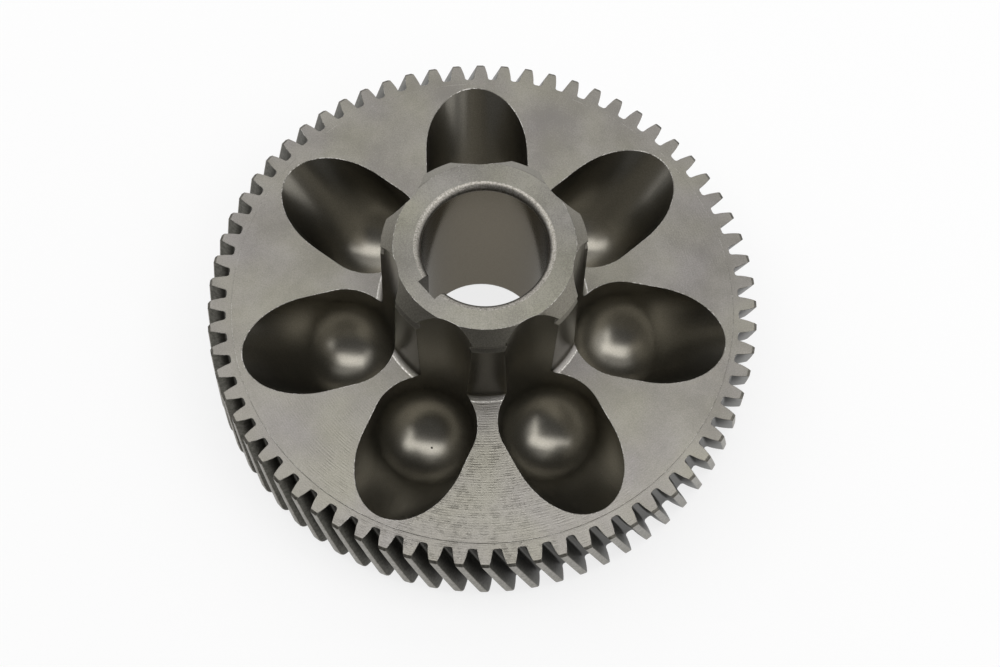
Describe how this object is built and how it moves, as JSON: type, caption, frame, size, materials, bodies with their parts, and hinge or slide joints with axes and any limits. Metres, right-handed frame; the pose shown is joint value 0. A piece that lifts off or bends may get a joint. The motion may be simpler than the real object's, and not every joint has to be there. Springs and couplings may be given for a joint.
{
  "type": "helical gear wheel",
  "caption": "Left-hand helical gear wheel with a long one-sided hub, keyed bore and milled lightening pockets.",
  "frame": {"origin": "centre of the bore's axis on the flat back face", "axes": "+Z along the bore axis from the back face to the hub's end; a pocket is centred on +Y and the keyway on -Y"},
  "size_m": [0.1468, 0.1468, 0.0611],
  "materials": {
    "steel": "satin, finely turned faces, with polished pockets and bore"
  },
  "bodies": {
    "root": {"gear_wheel": "steel"}
  },
  "joints": []
}
